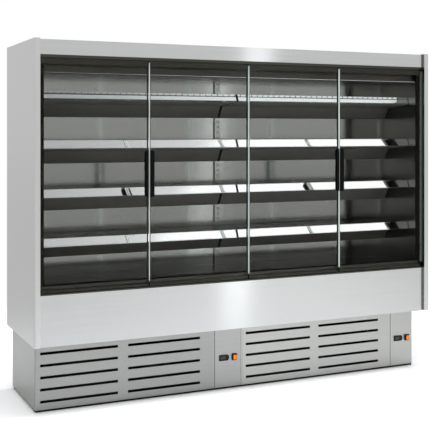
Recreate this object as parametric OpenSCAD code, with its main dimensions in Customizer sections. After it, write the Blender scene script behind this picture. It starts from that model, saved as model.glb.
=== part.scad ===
// Glass door multideck fridge: two refrigerated bays behind four pivoting glass doors.
// Origin: centre of the footprint on the floor. +X right, +Y to the back, +Z up.

/* [Overall] */
// Clear width between the two end panels
inner_w = 2500; // [2300:10:2700]
// Depth over the end panels, front to back
depth = 680; // [660:5:760]
// Height of the end panels above the floor
height = 2026; // [1960:1:2100]
// Thickness of one end panel
end_t = 32; // [30:1:45]
// Radius of an end panel's outer front corner
end_r = 8; // [8:1:25]
// Sheet of an end panel's outer cover
cover_t = 1.2; // [1:0.1:2]
// How far the two fascias stand behind the end panels' front
fascia_inset = 20; // [10:1:30]
// Thickness of folded cladding sheet
sheet_t = 2; // [1.2:0.1:3]

/* [Base] */
// Gap between the floor and the base
foot_gap = 12; // [10:1:20]
// Height of the base under the body
base_h = 366; // [350:1:390]
// How far the base stands behind the fascias
base_inset = 108; // [90:1:140]
// Radius of the base's upright front corners
base_r = 10; // [9:1:30]
// Leg of the base frame's angle section
angle_leg = 30; // [24:1:40]
// Thickness of the base frame's angle section and floor pan
angle_t = 3; // [2:0.5:4]
// Side of a square post of the base frame
post_w = 24; // [20:1:26]
// Radius of a levelling foot
foot_r = 14; // [11:1:15]
// Radius of a levelling foot's threaded stem
stem_r = 5; // [4:0.5:7]
// Front of the base to the middle of the front feet
foot_inset = 40; // [36:1:60]

/* [Grilles] */
// Width of one control panel
control_w = 175; // [160:1:200]
// Open seam beside each front panel of the base
seam = 3; // [2:0.5:5]
// Height of one grille slot
slot_h = 15; // [10:1:20]
// Distance from slot to slot, upwards
slot_pitch = 65.6; // [60:0.1:66]
// Slots in one block
slot_rows = 5; // [3:1:5]
// Edge of the bay to the first slot block
slot_margin = 30; // [29:1:40]
// Gap between the two slot blocks
slot_gap = 60; // [40:1:60]
// Plain sheet to the right of the second slot block
slot_end = 95; // [80:1:110]
// Bottom of the base to the first slot
slot_rise = 36; // [30:1:40]

/* [Controls] */
// Width of a temperature controller's face
controller_w = 63; // [55:1:70]
// Height of a temperature controller's face
controller_h = 35; // [30:1:42]
// How far a controller's face stands out
controller_t = 5; // [3:0.5:8]
// Width of a switch bezel
bezel_w = 30; // [29:0.5:34]
// Height of a switch bezel
bezel_h = 38; // [36:1:46]
// How far a switch bezel stands out
bezel_t = 9; // [8:0.5:10]
// How far a rocker's ends stand out of its bezel
rocker_out = 9; // [7:0.5:10]
// Tilt of a rocker either side of level
rocker_tilt = 8; // [5:1:8]

/* [Body] */
// Height of the lower fascia
lower_fascia_h = 275; // [250:1:300]
// Height of the top fascia
top_fascia_h = 81; // [70:1:100]
// How far the top fascia ends below the end panels
fascia_drop = 4; // [2:1:10]
// Insulated wall at the front and the back
wall_t = 45; // [35:1:55]
// Insulated floor
floor_t = 40; // [30:1:50]
// Steel skin of the insulated body
skin_t = 1; // [0.8:0.1:1.5]
// Clear depth of the air duct behind the back panels
duct_d = 97; // [80:1:110]
// Width of the lamp in the ceiling
lamp_w = 26; // [20:1:30]
// Width of the air outlet behind the lamp
outlet_w = 80; // [60:1:90]
// Underside of the ceiling duct below the top fascia
ceiling_drop = 91; // [80:1:110]
// Top of the deck above the lower fascia
deck_rise = 37; // [30:1:50]
// Depth of the air inlet between the sill and the deck
inlet_d = 75; // [65:1:90]

/* [Doors] */
// How far the doors stand behind the fascias
door_inset = 11; // [10:1:45]
// Thickness of a glazed door
door_t = 16; // [16:1:28]
// Gap between neighbouring doors
door_gap = 10; // [8:0.5:14]
// Gap above and below the doors
door_gap_z = 5; // [4:0.5:8]
// Thickness of one glass pane
pane_t = 4; // [3:0.5:5]
// Width of the upright spacer bars in a door
stile_w = 4; // [3:1:20]
// Height of a door's top bar
top_bar = 29; // [26:1:40]
// Height of a door's bottom bar
bottom_bar = 12; // [10:1:25]
// Bright strip on a door's upright edges
trim_t = 1; // [0.8:0.1:1.5]
// Radius of a door's pivot pin
pin_r = 4; // [3:0.25:4]
// Radial running clearance of the pins
running_fit = 0.05; // [0.02:0.01:0.1]
// Width of a door handle
handle_w = 21; // [18:1:26]
// Height of a door handle
handle_h = 260; // [220:1:320]
// How far a door handle stands out
handle_d = 19; // [17:1:30]

/* [Shelves] */
// Bottom edge of the lowest price rail above the deck
shelf_rise = 202; // [192:1:212]
// Ceiling above the bottom edge of the top price rail
shelf_head = 144; // [134:1:160]
// Front of the shelves behind the fascias
shelf_inset = 163; // [150:1:180]
// Height of a shelf and its price rail
shelf_h = 45; // [40:1:50]
// How far the price rail leans back
rail_lean = 22; // [18:1:30]
// Thickness of the price rail, level
rail_t = 4; // [3:0.5:5]
// Sheet of the shelves, decks and duct panels
tray_t = 1.5; // [1:0.1:2]
// Gap between the left and right shelves
shelf_gap = 6; // [4:1:10]
// Depth of the shelf bracket at the back
heel_h = 93; // [80:1:100]
// Thickness of a shelf bracket
bracket_t = 3; // [2:0.5:4]

/* [Refrigeration] */
// Radius of a fan's blade tips
fan_r = 98; // [80:1:105]
// Blades of one fan
fan_blades = 5; // [3:1:7]
// Radius of a compressor's shell
compressor_r = 100; // [85:1:110]
// Radius of a compressor's refrigerant pipes
pipe_r = 5; // [4:0.5:6]

/* [Hidden] */
$fn = 48;

// Colours of the object's own surfaces
satin_steel = "#c9cbca";
grey_steel = "#a9aaa7";
dark_trim = "#2b2a26";
black = "#101010";
pale_glass = [0.72, 0.80, 0.77, 0.35];
copper = "#b56a3c";

// Levels of the main pieces
half = inner_w / 2;
bay_w = inner_w / 2;
base_z0 = foot_gap;
body_z0 = base_z0 + base_h;
lower_z1 = body_z0 - sheet_t + lower_fascia_h;
top_z1 = height - fascia_drop;
top_z0 = top_z1 - top_fascia_h;
slab_z0 = top_z0 + sheet_t;
slab_z1 = top_z1 - sheet_t;
ceiling_z = top_z0 - ceiling_drop;
deck_z = lower_z1 + deck_rise;
floor_z = body_z0 + floor_t;

// Depths of the main pieces, front to back
y_front = -depth / 2;
y_fascia = y_front + fascia_inset;
y_door = y_fascia + door_inset;
y_door_back = y_door + door_t;
y_base = y_fascia + base_inset;
rear_inset = 2;
y_rear = depth / 2 - rear_inset;
y_wall = y_rear - wall_t;
y_panel = y_wall - duct_d;
y_tub = y_fascia + sheet_t;

// Door rails
sill_t = 7;
sill_body_h = 28;
sill_top = lower_z1 + sill_t;
sill_bottom = sill_top - sill_body_h;
header_drop = 15;
header_lip_h = 36;
sill_lip_h = 37;
header_z0 = top_z0 - header_drop;
seal_gap = 5;
stop_t = 8;
near_return = 8;
far_return = 36;
canopy_setback = 37;
y_stop = y_door_back + seal_gap;
y_canopy = y_stop + canopy_setback;
y_rail_back = y_canopy + 11;

// Doors
door_z0 = sill_top + door_gap_z;
door_z1 = header_z0 - door_gap_z;
door_pitch = inner_w / 4;
door_w = door_pitch - door_gap;
pivot_edge = 9.5;
y_pivot = (y_door + y_door_back) / 2;
pin_in = 10;
bush_wall = 3;
bush_r = pin_r + running_fit + bush_wall;
bush_seat = 0.02;
bush_l = pin_in + 3;

// Base
base_half = half - 1;
mullion_w = 8;
plinth_joint_y = y_base + base_r + 1;
foot_x = base_half - sheet_t - angle_t - post_w / 2;
foot_xs = [-foot_x, 0, foot_x];
foot_ys = [y_base + foot_inset, y_rear - sheet_t - angle_t - post_w / 2];
slot_w = (bay_w - control_w - slot_margin - slot_gap - slot_end) / 2;

// Shelves
levels = [0, 1, 2, 3];
shelf_z = deck_z + shelf_rise;
shelf_pitch = (ceiling_z - shelf_z - shelf_head) / (len(levels) - 1);
y_shelf = y_fascia + shelf_inset;
shelf_side_gap = 4;
upright_d = 18;
upright_t = 2;
upright_w = 30;
y_upright = y_panel - upright_d;
slot_step = shelf_pitch / 8;
hook_slot_w = bracket_t + 1;
hook_slot_h = 16;

// Refrigeration
cond_w = 400;
cond_d = 60;
cond_h = 280;
cond_z0 = base_z0 + angle_t + 10;
cond_gap = 16;
cond_rows = 5;
bend_out = 8;
bend_row = 0.27;
evap_fan_inset = 152;
evap_fan_drop = 2;
cond_fan_inset = 84;
evap_fan_y = y_base + evap_fan_inset;
evap_fan_z = (floor_z + lower_z1) / 2 - evap_fan_drop;
cond_fan_y = y_base + cond_fan_inset;
cond_fan_z = base_z0 + base_h / 2;
cond_fan_x = 265;
cond_y0 = cond_fan_y - cond_gap - cond_d;
fan_gap = 6;
plate_t = 2;

// Left normal of the segment from a to b
function normal(a, b) = [a.y - b.y, b.x - a.x] / norm(b - a);

// Corner i of a polyline moved t to its left, with mitred corners
function moved(p, i, t) =
    let (n = len(p),
         first = normal(p[max(i - 1, 0)], p[max(i, 1)]),
         second = normal(p[min(i, n - 2)], p[min(i + 1, n - 1)]),
         mean = first + second)
    p[i] + mean * 2 * t / (mean * mean);

// The polyline moved t to its left
function beside(p, t) = [for (i = [0 : len(p) - 1]) moved(p, i, t)];

// Outline of a folded sheet of thickness t on the left of a polyline
function folded(p, t) = concat(p, [for (i = [len(p) - 1 : -1 : 0]) moved(p, i, t)]);

// Draws an outline in (y, z) and sweeps it from x0 to x1
module along_x(x0, x1) {
    translate([x0, 0, 0]) rotate([90, 0, 90]) linear_extrude(x1 - x0) children();
}

// Draws an outline in (x, z) and sweeps it from y0 to y1
module along_y(y0, y1) {
    translate([0, y1, 0]) rotate([90, 0, 0]) linear_extrude(y1 - y0) children();
}

module box(a, b) {
    translate(a) cube(b - a);
}

// Cylinder along +Y from y0 to y1
module rod_y(r, y0, y1) {
    translate([0, y1, 0]) rotate([90, 0, 0]) cylinder(r = r, h = y1 - y0);
}

// Mirrors the children about X = 0 when side is 1, and keeps them when side is -1
module on_side(side) {
    mirror([side > 0 ? 1 : 0, 0, 0]) children();
}

// Base seen from above, shrunk all round by i, with round front corners
module base_outline(i) {
    translate([-base_half + i, y_base + base_r]) square([2 * (base_half - i), y_rear - i - y_base - base_r]);
    translate([-base_half + base_r, y_base + i]) square([2 * (base_half - base_r), base_r]);
    for (side = [-1, 1]) translate([side * (base_half - base_r), y_base + base_r]) circle(base_r - i);
}

// A ring of sheet round the base, from inset i to inset j
module base_ring(i, j) {
    difference() {
        base_outline(i);
        base_outline(j);
    }
}

// Square tube post of the base frame over a foot, closed by the pan and the flange
module base_post(x, y) {
    translate([x, y, base_z0]) difference() {
        translate([-post_w / 2, -post_w / 2, 0]) cube([post_w, post_w, base_h]);
        translate([angle_t - post_w / 2, angle_t - post_w / 2, angle_t])
            cube([post_w - 2 * angle_t, post_w - 2 * angle_t, base_h - 2 * angle_t]);
    }
}

module base_frame() color(grey_steel) {
    rim = sheet_t + angle_leg;
    difference() {
        union() {
            translate([0, 0, base_z0]) linear_extrude(angle_t) base_outline(sheet_t);
            translate([0, 0, base_z0]) linear_extrude(angle_leg) base_ring(sheet_t, sheet_t + angle_t);
            translate([0, 0, body_z0 - angle_t]) linear_extrude(angle_t) difference() {
                base_outline(sheet_t);
                translate([-base_half + rim, y_base + rim])
                    square([2 * (base_half - rim), y_rear - y_base - 2 * rim]);
            }
            translate([0, 0, body_z0 - angle_leg]) linear_extrude(angle_leg)
                base_ring(sheet_t, sheet_t + angle_t);
            for (x = foot_xs, y = foot_ys) base_post(x, y);
            box([-mullion_w / 2, y_base, base_z0], [mullion_w / 2, y_base + sheet_t, body_z0]);
        }
        for (x = foot_xs, y = foot_ys) translate([x, y, base_z0 - 1]) cylinder(r = stem_r + 0.5, h = angle_t + 2);
    }
}

module levelling_feet() color(black) {
    pad_h = foot_gap - 4;
    nut_h = 4;
    stem_z1 = base_z0 + angle_t + 22;
    for (x = foot_xs, y = foot_ys) translate([x, y, 0]) {
        rotate_extrude() polygon([[0, 0], [foot_r, 0], [foot_r, pad_h - 3], [foot_r - 3, pad_h],
                                  [stem_r, pad_h], [stem_r, stem_z1], [0, stem_z1]]);
        translate([0, 0, pad_h]) difference() {
            cylinder(r = stem_r + 5, h = nut_h, $fn = 6);
            translate([0, 0, -1]) cylinder(r = stem_r + 0.2, h = nut_h + 2);
        }
    }
}

module toe_strip() color(black) {
    floor_clear = 1;
    translate([0, 0, floor_clear]) linear_extrude(base_z0 - floor_clear) intersection() {
        base_ring(3, 8);
        translate([-half, y_base]) square([inner_w, base_r]);
    }
}

module plinth_sides() color(grey_steel) {
    lap = 0.5;
    for (side = [-1, 1]) on_side(side) {
        box([-base_half, plinth_joint_y + lap, base_z0], [-base_half + sheet_t, y_rear, body_z0]);
    }
}

module rear_service_panel() color(grey_steel) {
    vent_w = 300;
    vent_h = 8;
    vent_rows = 7;
    vent_pitch = 24;
    vent_rise = 110;
    difference() {
        box([-base_half + sheet_t, y_rear - sheet_t, base_z0], [base_half - sheet_t, y_rear, body_z0]);
        for (x = [-bay_w * 3 / 4, -bay_w / 4, bay_w / 4, bay_w * 3 / 4], i = [0 : vent_rows - 1])
            box([x - vent_w / 2, y_rear - sheet_t - 1, base_z0 + vent_rise + i * vent_pitch],
                [x + vent_w / 2, y_rear + 1, base_z0 + vent_rise + vent_h + i * vent_pitch]);
    }
}

// Front sheet of the base from x0 to x1, with round ends where it meets the corners
module front_sheet(x0, x1) {
    translate([0, 0, base_z0]) linear_extrude(base_h) intersection() {
        base_ring(0, sheet_t);
        translate([x0, y_base]) square([x1 - x0, plinth_joint_y - y_base]);
    }
}

// Left edge of a bay: side -1 is the left bay and 1 is the right bay
function bay_x(side) = side < 0 ? -bay_w : 0;
function cond_x0(side) = bay_x(side) + cond_fan_x - cond_w / 2;
function grille_x0(side) = side < 0 ? -base_half : mullion_w / 2 + seam / 2;
function split_x(side) = bay_x(side) + bay_w - control_w;
function control_x1(side) = side < 0 ? -mullion_w / 2 - seam / 2 : base_half;

module grille(side) color(grey_steel) {
    difference() {
        front_sheet(grille_x0(side), split_x(side) - seam / 2);
        for (block = [0, 1], row = [0 : slot_rows - 1])
            translate([bay_x(side) + slot_margin + block * (slot_w + slot_gap), y_base - 1,
                       base_z0 + slot_rise + row * slot_pitch])
                cube([slot_w, sheet_t + 2, slot_h]);
    }
}

// Centre of the controls above the floor, and their places from the right edge of the bay
control_rise = 173.5;
control_z = base_z0 + control_rise;
controller_from_edge = 114.5;
switch_from_edge = 47;
function controller_x(side) = bay_x(side) + bay_w - controller_from_edge;
function switch_x(side) = bay_x(side) + bay_w - switch_from_edge;
cutout_lip = 3;
fit = 0.3;

// Cut-out for a control with a face of w by h
module cutout(x, w, h) {
    translate([x, 0, control_z]) along_y(y_base - 1, y_base + sheet_t + 1)
        square([w - 2 * cutout_lip, h - 2 * cutout_lip], center = true);
}

module control_panel(side) color(grey_steel) {
    difference() {
        front_sheet(split_x(side) + seam / 2, control_x1(side));
        cutout(controller_x(side), controller_w, controller_h);
        cutout(switch_x(side), bezel_w, bezel_h);
    }
}

// Face of a controller: square corners on the left and a round right side
module controller_face() {
    nose_r = controller_h * 0.4;
    union() {
        translate([-controller_w / 2, -controller_h / 2]) square([controller_w - nose_r, controller_h]);
        translate([controller_w / 2 - 2 * nose_r, -controller_h / 2 + nose_r])
            square([2 * nose_r, controller_h - 2 * nose_r]);
        for (s = [-1, 1]) translate([controller_w / 2 - nose_r, s * (controller_h / 2 - nose_r)]) circle(nose_r);
    }
}

module controllers() color(black) {
    body_d = 52;
    window_w = 34;
    window_h = 17;
    for (side = [-1, 1]) translate([controller_x(side), 0, control_z]) {
        difference() {
            along_y(y_base - controller_t, y_base) controller_face();
            along_y(y_base - controller_t - 1, y_base - controller_t + 0.8)
                translate([-controller_w / 2 + 7, -window_h / 2]) square([window_w, window_h]);
        }
        along_y(y_base, y_base + body_d)
            square([controller_w - 2 * (cutout_lip + fit), controller_h - 2 * (cutout_lip + fit)], center = true);
    }
}

module control_boxes() color(satin_steel) {
    box_t = 1.5;
    box_d = 80;
    box_w = control_w - 47;
    box_h = 230;
    for (side = [-1, 1]) translate([split_x(side) + 15, y_base + sheet_t, control_z - box_h / 2])
        difference() {
            cube([box_w, box_d, box_h]);
            translate([box_t, -1, box_t]) cube([box_w - 2 * box_t, box_d - box_t + 1, box_h - 2 * box_t]);
        }
}

// The switch: a bezel with a window, and a rocker on two upright pins inside it
switch_wall = 1.5;
switch_body_d = 24;
rocker_side_gap = 0.4;
rocker_pin_r = 1.5;
rocker_pin_l = 2;
rocker_axis_in = 6;
rocker_dip = 4;
rocker_skirt = 6;
window_w = bezel_w - 2 * (cutout_lip + fit + 0.8);
window_h = bezel_h - 2 * (cutout_lip + fit + switch_wall);
rocker_w = window_w - 2 * rocker_side_gap;
rocker_h = window_h - 2 * rocker_side_gap;
rocker_y = y_base - bezel_t + rocker_axis_in;

module switch_bezels() color(black) {
    bore_l = rocker_h + 2 * (rocker_side_gap + rocker_pin_l + fit);
    for (side = [-1, 1]) translate([switch_x(side), 0, control_z]) difference() {
        union() {
            along_y(y_base - bezel_t, y_base) square([bezel_w, bezel_h], center = true);
            along_y(y_base, y_base + switch_body_d)
                square([bezel_w - 2 * (cutout_lip + fit), bezel_h - 2 * (cutout_lip + fit)], center = true);
        }
        along_y(y_base - bezel_t - 1, y_base + switch_body_d - switch_wall)
            square([window_w, window_h], center = true);
        translate([0, rocker_y, -bore_l / 2]) cylinder(r = rocker_pin_r + running_fit, h = bore_l);
    }
}

// A rocker, tilted so that its left half is pressed in
module rocker(side) color("#ff8a12") {
    front = rocker_axis_in + rocker_out;
    neck = rocker_w / 2 - 1.4;
    shoulder = rocker_axis_in + 2.6;
    pin_reach = rocker_h / 2 + rocker_side_gap + rocker_pin_l;
    translate([switch_x(side), rocker_y, control_z]) rotate([0, 0, -rocker_tilt]) {
        translate([0, 0, -rocker_h / 2]) linear_extrude(rocker_h)
            polygon([[-rocker_w / 2, -front], [0, rocker_dip - front], [rocker_w / 2, -front],
                     [rocker_w / 2, -shoulder], [neck, -rocker_axis_in - 0.5],
                     [rocker_w / 4, rocker_skirt], [-rocker_w / 4, rocker_skirt],
                     [-neck, -rocker_axis_in - 0.5], [-rocker_w / 2, -shoulder]]);
        translate([0, 0, -pin_reach]) cylinder(r = rocker_pin_r, h = 2 * pin_reach);
    }
}

// Rounding of an end panel's inner front corner, and its returned lip
end_inner_r = cover_t + 1;
end_lip = end_inner_r + 3;
end_x = -half - end_t;

// Left end panel seen from above, shrunk by i
module end_outline(i) {
    deep = end_r + fit;
    translate([end_x + i, y_front + end_r]) square([end_t - i, depth - end_r - i]);
    translate([end_x + end_r, y_front + i]) square([end_t - end_r - end_inner_r, deep - i]);
    translate([end_x + end_r, y_front + end_inner_r]) square([end_t - end_r, deep - end_inner_r]);
    translate([-half - end_inner_r, y_front + end_inner_r]) circle(end_inner_r - i);
    intersection() {
        translate([end_x + end_r, y_front + end_r]) circle(end_r - i);
        translate([end_x, y_front]) square([end_r, deep]);
    }
}

module end_panel(side) color(satin_steel) {
    cavity_h = height - body_z0 - 2 * cover_t;
    on_side(side) difference() {
        translate([0, 0, body_z0]) linear_extrude(height - body_z0) end_outline(0);
        translate([0, 0, body_z0 + cover_t]) linear_extrude(cavity_h) difference() {
            union() {
                end_outline(cover_t);
                translate([-half - 1, y_front + end_lip]) square([2, depth - cover_t - end_lip]);
            }
            translate([-half - cover_t, y_front]) square([cover_t + 1, end_lip]);
        }
    }
}

// Insulated boards in the end panels, dark on the side that faces the doors
module side_liners() color(dark_trim) {
    tongue = 5;
    y1 = -y_front - cover_t;
    for (side = [-1, 1]) on_side(side)
        translate([0, 0, body_z0 + cover_t]) linear_extrude(height - body_z0 - 2 * cover_t)
            polygon([[-half, y_front + end_lip], [-half, y1], [end_x + cover_t, y1],
                     [end_x + cover_t, y_front + end_r], [-half - tongue, y_front + end_r],
                     [-half - tongue, y_front + end_lip]]);
}

// Section of the insulated body, shrunk by i: floor, back wall, roof and front wall in one
module body_outline(i) {
    polygon([[y_tub + i, body_z0 + i], [y_rear - i, body_z0 + i], [y_rear - i, slab_z1 - i],
             [y_tub + i, slab_z1 - i], [y_tub + i, slab_z0 + i], [y_wall + i, slab_z0 + i],
             [y_wall + i, floor_z - i], [y_tub + wall_t - i, floor_z - i],
             [y_tub + wall_t - i, sill_bottom - i], [y_tub + i, sill_bottom - i]]);
}

module body_shell() color(satin_steel) {
    along_x(-half, half) difference() {
        body_outline(0);
        body_outline(skin_t);
    }
}

module body_foam() color("#e8d9a0") {
    along_x(-half, half) body_outline(skin_t);
}

module top_fascia() color(satin_steel) {
    along_x(-half + 0.5, half - 0.5)
        polygon(folded([[y_fascia + near_return, top_z0], [y_fascia, top_z0],
                        [y_fascia, top_z1], [y_fascia + far_return, top_z1]], -sheet_t));
}

module lower_fascia() color(satin_steel) {
    along_x(-half + 0.5, half - 0.5)
        polygon(folded([[y_fascia + far_return, lower_z1 - lower_fascia_h], [y_fascia, lower_z1 - lower_fascia_h],
                        [y_fascia, lower_z1], [y_fascia + near_return, lower_z1]], -sheet_t));
}

// Pivot axes of the doors: doors 1 and 3 turn on their left edge, 2 and 4 on their right
function door_x0(n) = -half + (n - 1) * door_pitch + door_gap / 2;
function hinge_left(n) = n % 2 == 1;
function pivot_x(n) = hinge_left(n) ? door_x0(n) + pivot_edge : door_x0(n) + door_w - pivot_edge;
doors = [1, 2, 3, 4];

module header_rail() color(dark_trim) {
    y0 = y_fascia + near_return + 1;
    lip_z = header_z0 - header_lip_h;
    difference() {
        along_x(-half, half)
            polygon([[y0, header_z0], [y_stop, header_z0], [y_stop, lip_z], [y_stop + stop_t, lip_z],
                     [y_stop + stop_t, header_z0], [y_rail_back, header_z0], [y_rail_back, slab_z0],
                     [y0, slab_z0]]);
        for (n = doors) translate([pivot_x(n), y_pivot, header_z0 - 1]) cylinder(r = bush_r + bush_seat, h = bush_l + 1);
    }
}

module sill_rail() color(dark_trim) {
    y0 = y_fascia + 4;
    y1 = y_fascia + near_return + 2;
    lip_z = sill_top + sill_lip_h;
    difference() {
        along_x(-half, half)
            polygon([[y0, lower_z1], [y1, lower_z1], [y1, sill_bottom], [y_rail_back, sill_bottom],
                     [y_rail_back, sill_top], [y_stop + stop_t, sill_top], [y_stop + stop_t, lip_z],
                     [y_stop, lip_z], [y_stop, sill_top], [y0, sill_top]]);
        for (n = doors) translate([pivot_x(n), y_pivot, sill_top - bush_l]) cylinder(r = bush_r + bush_seat, h = bush_l + 1);
    }
}

module door_jambs() color(dark_trim) {
    jamb_w = 31;
    leg_t = 6;
    z0 = sill_top + sill_lip_h;
    for (side = [-1, 1]) on_side(side) {
        box([-half, y_stop, z0], [-half + jamb_w, y_stop + stop_t, header_z0 - header_lip_h]);
        box([-half, y_stop, z0], [-half + leg_t, y_rail_back, ceiling_z]);
    }
}

// One bush, mouth down at z = 0, with a flange when it carries the door
module bush(flange) {
    difference() {
        union() {
            cylinder(r = bush_r, h = bush_l);
            if (flange) translate([0, 0, -door_gap_z + fit]) cylinder(r = bush_r + 2, h = door_gap_z - fit);
        }
        translate([0, 0, -door_gap_z]) cylinder(r = pin_r + running_fit, h = door_gap_z + pin_in + 1);
    }
}

module pivot_bushes() color("#d8d4c8") {
    for (n = doors) {
        translate([pivot_x(n), y_pivot, header_z0]) bush(false);
        translate([pivot_x(n), y_pivot, sill_top]) mirror([0, 0, 1]) bush(true);
    }
}

// Two panes of a door
module door_glass(n) color(pale_glass) {
    x0 = door_x0(n) + trim_t;
    x1 = door_x0(n) + door_w - trim_t;
    box([x0, y_door, door_z0], [x1, y_door + pane_t, door_z1]);
    box([x0, y_door_back - pane_t, door_z0], [x1, y_door_back, door_z1]);
}

// Spacer frame with the pivot pins, two bright edge strips and their black end caps
module door_frame(n) color(dark_trim) {
    x0 = door_x0(n) + trim_t;
    x1 = door_x0(n) + door_w - trim_t;
    cap_low = 27;
    cap_high = 6;
    y0 = y_door + pane_t;
    y1 = y_door_back - pane_t;
    difference() {
        box([x0, y0, door_z0], [x1, y1, door_z1]);
        box([x0 + stile_w, y0 - 1, door_z0 + bottom_bar], [x1 - stile_w, y1 + 1, door_z1 - top_bar]);
    }
    translate([pivot_x(n), y_pivot, door_z1]) cylinder(r = pin_r, h = door_gap_z + pin_in);
    translate([pivot_x(n), y_pivot, door_z0 - door_gap_z - pin_in]) cylinder(r = pin_r, h = door_gap_z + pin_in);
    for (x = [door_x0(n), x1]) {
        box([x, y_door, door_z0 + cap_low], [x + trim_t, y_door_back, door_z1 - cap_high]);
        box([x, y_door, door_z0], [x + trim_t, y_door_back, door_z0 + cap_low]);
        box([x, y_door, door_z1 - cap_high], [x + trim_t, y_door_back, door_z1]);
    }
}

// Pull handle on the free edge of a door: a bar with a finger groove behind its front
handle_edge = 1.5;
groove_d = handle_w - 7;
groove_y0 = 2;
groove_y1 = handle_d - 5;

module handle_front() {
    r = handle_w - 5;
    translate([0, r]) square([handle_w, handle_h - 2 * r]);
    translate([r, 0]) square([handle_w - r, handle_h]);
    for (z = [r, handle_h - r]) translate([r, z]) circle(r);
}

module handle_plan() {
    r = 5;
    difference() {
        union() {
            translate([0, -handle_d + r]) square([handle_w, handle_d - r]);
            translate([r, -handle_d]) square([handle_w - 2 * r, r]);
            for (x = [r, handle_w - r]) translate([x, -handle_d + r]) circle(r);
        }
        translate([-1, -groove_y1]) square([groove_d + 1, groove_y1 - groove_y0]);
    }
}

module door_handle(n) color(black) {
    x = hinge_left(n) ? door_x0(n) + door_w - handle_edge - handle_w : door_x0(n) + handle_edge + handle_w;
    translate([x, y_door, (door_z0 + door_z1 - handle_h) / 2]) mirror([hinge_left(n) ? 0 : 1, 0, 0])
        intersection() {
            along_y(-handle_d - 1, 1) handle_front();
            linear_extrude(handle_h) handle_plan();
        }
}

// Ceiling of the shelf space, from the front: canopy strip, lamp, air outlet, duct
lamp_y0 = y_canopy + 6;
outlet_y0 = lamp_y0 + lamp_w + 1;
outlet_y1 = outlet_y0 + outlet_w;
outlet_h = 22;
duct_lip = 30;

module ceiling_duct() color(satin_steel) {
    along_x(-half, half) polygon(folded([[y_panel, ceiling_z + duct_lip], [y_panel, ceiling_z],
                                         [outlet_y1, ceiling_z], [outlet_y1, ceiling_z + duct_lip]], -tray_t));
    along_x(-half, half) polygon(folded([[lamp_y0, ceiling_z + duct_lip], [lamp_y0, ceiling_z],
                                         [y_canopy, ceiling_z], [y_canopy, header_z0]], -tray_t));
}

// Honeycomb of the air curtain, drawn as rows of square cells
module air_outlet() color(dark_trim) {
    cells = 64;
    rows = 2;
    wall = 3;
    x_step = (inner_w - wall) / cells;
    y_step = (outlet_w - wall) / rows;
    difference() {
        box([-half, outlet_y0, ceiling_z], [half, outlet_y1, ceiling_z + outlet_h]);
        for (i = [0 : cells - 1], j = [0 : rows - 1])
            translate([-half + wall + i * x_step, outlet_y0 + wall + j * y_step, ceiling_z - 1])
                cube([x_step - wall, y_step - wall, outlet_h + 2]);
    }
}

// Lamp in the ceiling: an aluminium channel closed by a diffuser
module led_light() color("#e4e6e6") {
    channel_t = 2;
    lamp_h = 16;
    y1 = lamp_y0 + lamp_w;
    along_x(-half, half)
        polygon(folded([[lamp_y0, ceiling_z], [lamp_y0, ceiling_z + lamp_h], [y1, ceiling_z + lamp_h],
                        [y1, ceiling_z]], -channel_t));
    box([-half, lamp_y0 + channel_t / 2, ceiling_z], [half, y1 - channel_t / 2, ceiling_z + channel_t]);
    box([-half, y1 - channel_t / 2, ceiling_z], [half, outlet_y0, ceiling_z + lamp_h]);
}

function shelf_level(k) = shelf_z + k * shelf_pitch;
panel_bottom = deck_z - 60;

module back_panels() color(grey_steel) {
    vents = 12;
    vent_w = 60;
    vent_h = 8;
    for (side = [-1, 1]) on_side(side) difference() {
        box([-half, y_panel, panel_bottom], [-0.5, y_panel + tray_t, ceiling_z - 0.5]);
        for (k = levels, i = [0 : vents - 1])
            translate([-half + (i + 0.5) * (half - upright_w) / vents, y_panel - 1, shelf_level(k) - heel_h / 2])
                cube([vent_w, tray_t + 2, vent_h]);
    }
}

// Bracket plates stand just inside the ends of each shelf
shelf_x0 = -half + shelf_side_gap;
shelf_x1 = -shelf_gap / 2;
bracket_xs = [shelf_x0, shelf_x1 - bracket_t];
upright_z0 = deck_z + 1;
upright_z1 = ceiling_z - 1;
hook_z = shelf_h / 2 - 12;

// Slots of one upright column, through the front web
module hook_slots(x) {
    first = ceil((upright_z0 + 10 - shelf_z - hook_z) / slot_step);
    last = floor((upright_z1 - 30 - shelf_z - hook_z) / slot_step);
    for (i = [first : last])
        translate([x - hook_slot_w / 2, y_upright - 1, shelf_z + hook_z + i * slot_step])
            cube([hook_slot_w, upright_t + 2, hook_slot_h]);
}

// Channel from x0 to x1, open to the back
module upright_channel(x0, x1) {
    translate([0, 0, upright_z0]) linear_extrude(upright_z1 - upright_z0)
        polygon(folded([[x0, y_panel], [x0, y_upright], [x1, y_upright], [x1, y_panel]], upright_t));
}

module shelf_uprights() color(grey_steel) {
    for (side = [-1, 1]) on_side(side) difference() {
        upright_channel(-half, -half + upright_w);
        hook_slots(bracket_xs[0] + bracket_t / 2);
    }
    difference() {
        upright_channel(-upright_w / 2 - 3, upright_w / 2 + 3);
        for (side = [-1, 1]) hook_slots(side * (bracket_xs[1] + bracket_t / 2));
    }
}

// Section of a shelf, from its rear flange over the top, down the front and back to the heel
shelf_back = y_upright - 1;
heel_front_drop = 20;
heel_gap = 21;
heel_run = 52;
heel_foot = 12;
heel_back_y = y_upright - heel_gap;
heel_y = heel_back_y - heel_run;
flange_h = 18;
shelf_line = [[shelf_back, shelf_h - flange_h], [shelf_back, shelf_h], [y_shelf + rail_t + rail_lean, shelf_h],
              [y_shelf + rail_t, 0], [heel_y, -heel_front_drop], [heel_back_y, -heel_h],
              [heel_back_y + heel_foot, -heel_h]];

module shelf(k) color(grey_steel) {
    for (side = [-1, 1]) on_side(side) translate([0, 0, shelf_level(k)])
        along_x(shelf_x0, shelf_x1) polygon(folded(shelf_line, tray_t));
}

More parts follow.
